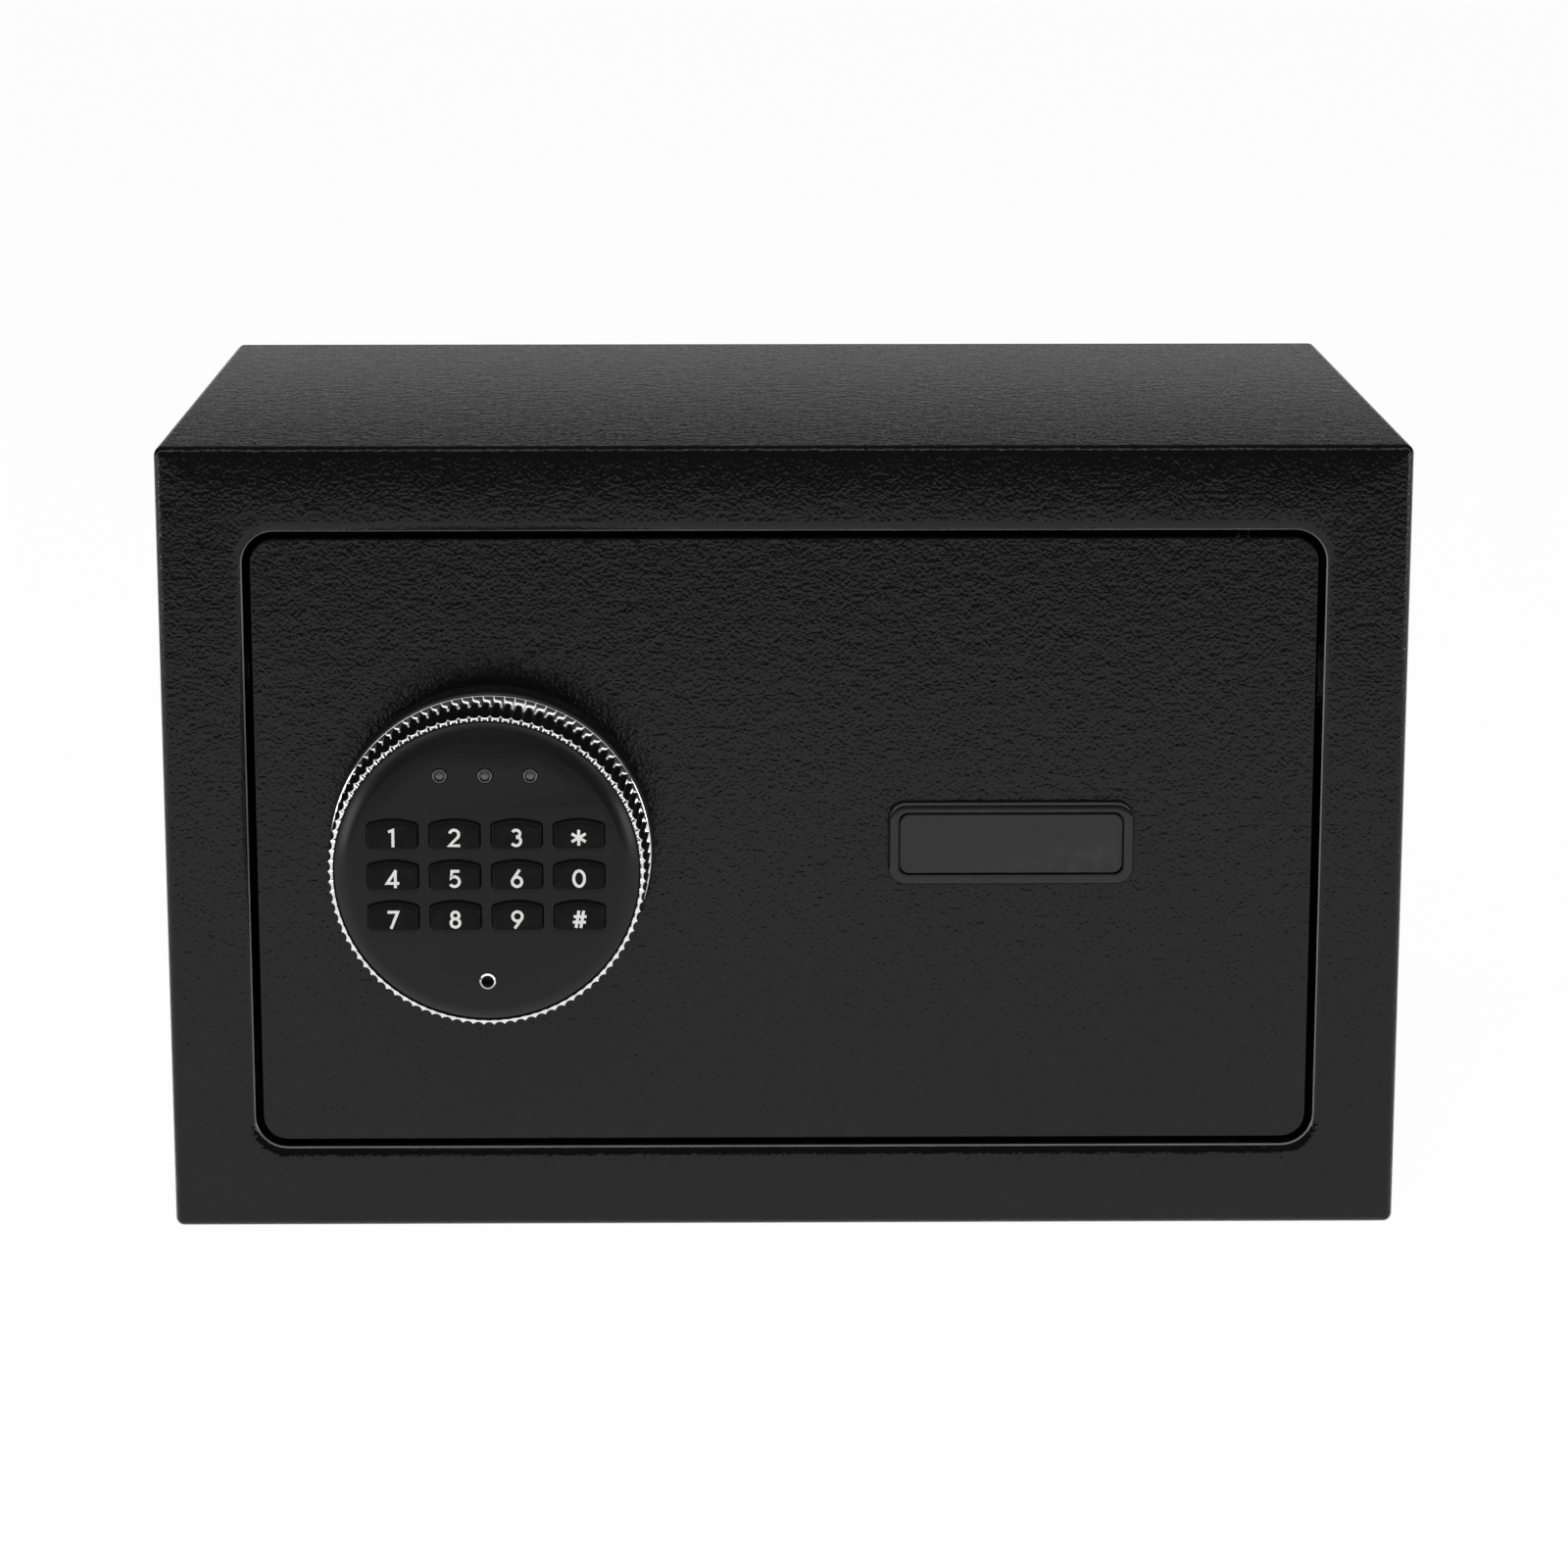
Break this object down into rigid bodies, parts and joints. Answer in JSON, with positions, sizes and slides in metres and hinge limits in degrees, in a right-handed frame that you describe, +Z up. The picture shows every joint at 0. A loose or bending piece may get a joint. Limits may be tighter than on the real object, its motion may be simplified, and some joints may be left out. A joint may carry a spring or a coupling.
{
  "type": "electronic safe",
  "caption": "Small black steel safe with a hinged door, a turning keypad knob that throws sliding bolts, and a covered emergency lock.",
  "frame": {"origin": "middle of the base that the safe stands on", "axes": "+X to the right seen from the front, +Y from the door into the safe, +Z up"},
  "size_m": [0.31, 0.2331, 0.2],
  "materials": {
    "coat": "black powder coat with a fine orange-peel texture",
    "mat": "dark grey felt",
    "zinc": "zinc plated steel",
    "steel": "turned bright steel",
    "plastic": "satin black moulding",
    "keys": "satin black keys with pale legends",
    "chrome": "bright chrome plate",
    "lens": "grey lens",
    "brass": "machined brass",
    "board": "green solder mask",
    "button": "red moulding",
    "cells": "plain battery wrap"
  },
  "bodies": {
    "case": {"body_shell": "coat", "back_panel": "coat", "floor_mat": "mat", "hinge_bracket_top": "coat", "hinge_bracket_bottom": "coat", "hinge_pin_top": "coat", "hinge_pin_bottom": "coat"},
    "door": {"door_plate": "coat", "hinge_block_top": "coat", "hinge_block_bottom": "coat", "knob_base": "plastic", "bolt_guide": "coat", "solenoid_body": "zinc", "override_bezel": "plastic", "lock_cylinder": "brass", "inner_cover": "plastic", "circuit_board": "board", "battery_tray": "plastic", "battery_1": "cells", "battery_2": "cells", "battery_3": "cells", "battery_4": "cells", "cover_screw_1": "steel", "cover_screw_2": "steel", "cover_screw_3": "steel", "cover_screw_4": "steel"},
    "knob": {"knob_ring": "chrome", "keypad_body": "plastic", "knob_spindle": "steel", "crank_disc": "zinc", "led_1": "lens", "led_2": "lens", "led_3": "lens", "led_ring_1": "chrome", "led_ring_2": "chrome", "led_ring_3": "chrome", "power_contact": "chrome"},
    "boltwork": {"bolt_carriage": "zinc", "bolt_upper": "steel", "bolt_lower": "steel"},
    "plunger": {"solenoid_plunger": "steel"},
    "override_lid": {"override_cover": "plastic"},
    "plug": {"lock_plug": "brass", "lock_cam": "zinc"},
    "reset": {"reset_button": "button"},
    "hatch": {"battery_lid": "plastic"},
    "push_1": {"key_1": "keys"},
    "push_2": {"key_2": "keys"},
    "push_3": {"key_3": "keys"},
    "push_star": {"key_star": "keys"},
    "push_4": {"key_4": "keys"},
    "push_5": {"key_5": "keys"},
    "push_6": {"key_6": "keys"},
    "push_0": {"key_0": "keys"},
    "push_7": {"key_7": "keys"},
    "push_8": {"key_8": "keys"},
    "push_9": {"key_9": "keys"},
    "push_hash": {"key_hash": "keys"}
  },
  "joints": [
    {"name": "door_hinge", "type": "hinge", "parent": "case", "child": "door", "pos_m": [0.114, -0.091, 0.1], "axis": [0, 0, 1], "range_deg": [0, 110]},
    {"name": "knob_turn", "type": "hinge", "parent": "door", "child": "knob", "pos_m": [-0.073, -0.1088, 0.1], "axis": [0, -1, 0], "range_deg": [0, 90]},
    {"name": "bolt_slide", "type": "slide", "parent": "door", "child": "boltwork", "axis": [-1, 0, 0], "range_m": [0, 0.01415]},
    {"name": "plunger_slide", "type": "slide", "parent": "door", "child": "plunger", "axis": [0, 0, -1], "range_m": [0, 0.006], "stiffness_N_per_m": 200},
    {"name": "override_cover_pull", "type": "slide", "parent": "door", "child": "override_lid", "axis": [0, -1, 0], "range_m": [0, 0.012]},
    {"name": "lock_turn", "type": "hinge", "parent": "door", "child": "plug", "pos_m": [0.0566, -0.099, 0.1], "axis": [0, 1, 0], "range_deg": [0, 90]},
    {"name": "reset_press", "type": "slide", "parent": "door", "child": "reset", "axis": [0, -1, 0], "range_m": [0, 0.0015], "stiffness_N_per_m": 300},
    {"name": "battery_lid_slide", "type": "slide", "parent": "door", "child": "hatch", "axis": [1, 0, 0], "range_m": [0, 0.012]},
    {"name": "key_1_press", "type": "slide", "parent": "knob", "child": "push_1", "axis": [0, 1, 0], "range_m": [0, 0.001], "stiffness_N_per_m": 300},
    {"name": "key_2_press", "type": "slide", "parent": "knob", "child": "push_2", "axis": [0, 1, 0], "range_m": [0, 0.001], "stiffness_N_per_m": 300},
    {"name": "key_3_press", "type": "slide", "parent": "knob", "child": "push_3", "axis": [0, 1, 0], "range_m": [0, 0.001], "stiffness_N_per_m": 300},
    {"name": "key_star_press", "type": "slide", "parent": "knob", "child": "push_star", "axis": [0, 1, 0], "range_m": [0, 0.001], "stiffness_N_per_m": 300},
    {"name": "key_4_press", "type": "slide", "parent": "knob", "child": "push_4", "axis": [0, 1, 0], "range_m": [0, 0.001], "stiffness_N_per_m": 300},
    {"name": "key_5_press", "type": "slide", "parent": "knob", "child": "push_5", "axis": [0, 1, 0], "range_m": [0, 0.001], "stiffness_N_per_m": 300},
    {"name": "key_6_press", "type": "slide", "parent": "knob", "child": "push_6", "axis": [0, 1, 0], "range_m": [0, 0.001], "stiffness_N_per_m": 300},
    {"name": "key_0_press", "type": "slide", "parent": "knob", "child": "push_0", "axis": [0, 1, 0], "range_m": [0, 0.001], "stiffness_N_per_m": 300},
    {"name": "key_7_press", "type": "slide", "parent": "knob", "child": "push_7", "axis": [0, 1, 0], "range_m": [0, 0.001], "stiffness_N_per_m": 300},
    {"name": "key_8_press", "type": "slide", "parent": "knob", "child": "push_8", "axis": [0, 1, 0], "range_m": [0, 0.001], "stiffness_N_per_m": 300},
    {"name": "key_9_press", "type": "slide", "parent": "knob", "child": "push_9", "axis": [0, 1, 0], "range_m": [0, 0.001], "stiffness_N_per_m": 300},
    {"name": "key_hash_press", "type": "slide", "parent": "knob", "child": "push_hash", "axis": [0, 1, 0], "range_m": [0, 0.001], "stiffness_N_per_m": 300}
  ],
  "couplings": [
    {"joint": "bolt_slide", "follows": "knob_turn", "m_per_rad": 0.009003}
  ]
}
